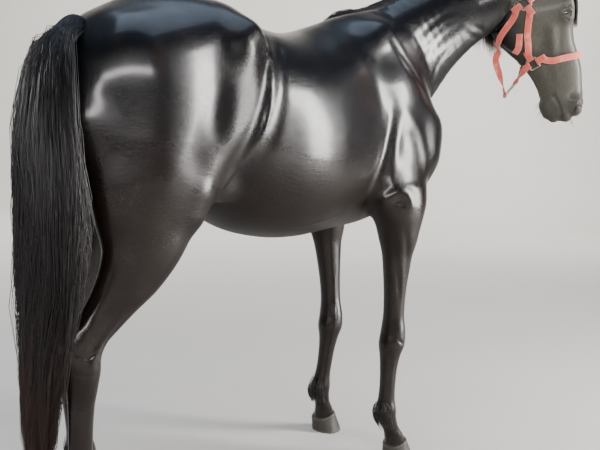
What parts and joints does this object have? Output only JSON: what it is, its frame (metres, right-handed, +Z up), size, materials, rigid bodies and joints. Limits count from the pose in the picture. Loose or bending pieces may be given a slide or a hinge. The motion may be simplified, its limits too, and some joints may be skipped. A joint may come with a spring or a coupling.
{
  "type": "friesian horse",
  "caption": "Black Friesian horse standing at rest, head turned to its right, with long mane, feathered fetlocks, full tail and a webbing halter.",
  "frame": {"origin": "on the floor under the middle of the whole outline", "axes": "+X towards the breast, +Y to the left side of the horse, +Z up"},
  "size_m": [2.1934, 0.7076, 1.9813],
  "materials": {
    "coat": "short glossy black coat with brown shadows",
    "eye": "wet and dark",
    "hoof": "dark horn with growth rings",
    "ring": "dull metal",
    "tail_hair": "long black hair, bleached reddish brown at the ends",
    "webbing": "coral red woven webbing, two layers"
  },
  "bodies": {
    "root": {"barrel": "coat", "ear_left": "coat", "ear_right": "coat", "eye_left": "eye", "eye_right": "eye", "fore_left_hoof": "hoof", "fore_left_lower": "coat", "fore_left_upper": "coat", "fore_right_hoof": "hoof", "fore_right_lower": "coat", "fore_right_upper": "coat", "halter_cheek_left": "webbing", "halter_cheek_right": "webbing", "halter_chin_left": "webbing", "halter_chin_right": "webbing", "halter_crown": "webbing", "halter_jaw": "webbing", "halter_noseband": "webbing", "halter_ring_chin": "ring", "halter_ring_lower_left": "ring", "halter_ring_lower_right": "ring", "halter_ring_upper_left": "ring", "halter_ring_upper_right": "ring", "halter_throat": "webbing", "halter_tongue": "webbing", "head": "coat", "hind_left_hoof": "hoof", "hind_left_lower": "coat", "hind_left_upper": "coat", "hind_right_hoof": "hoof", "hind_right_lower": "coat", "hind_right_upper": "coat", "hindquarters": "coat", "neck": "coat", "shoulders": "coat", "tail": "tail_hair"}
  },
  "joints": []
}
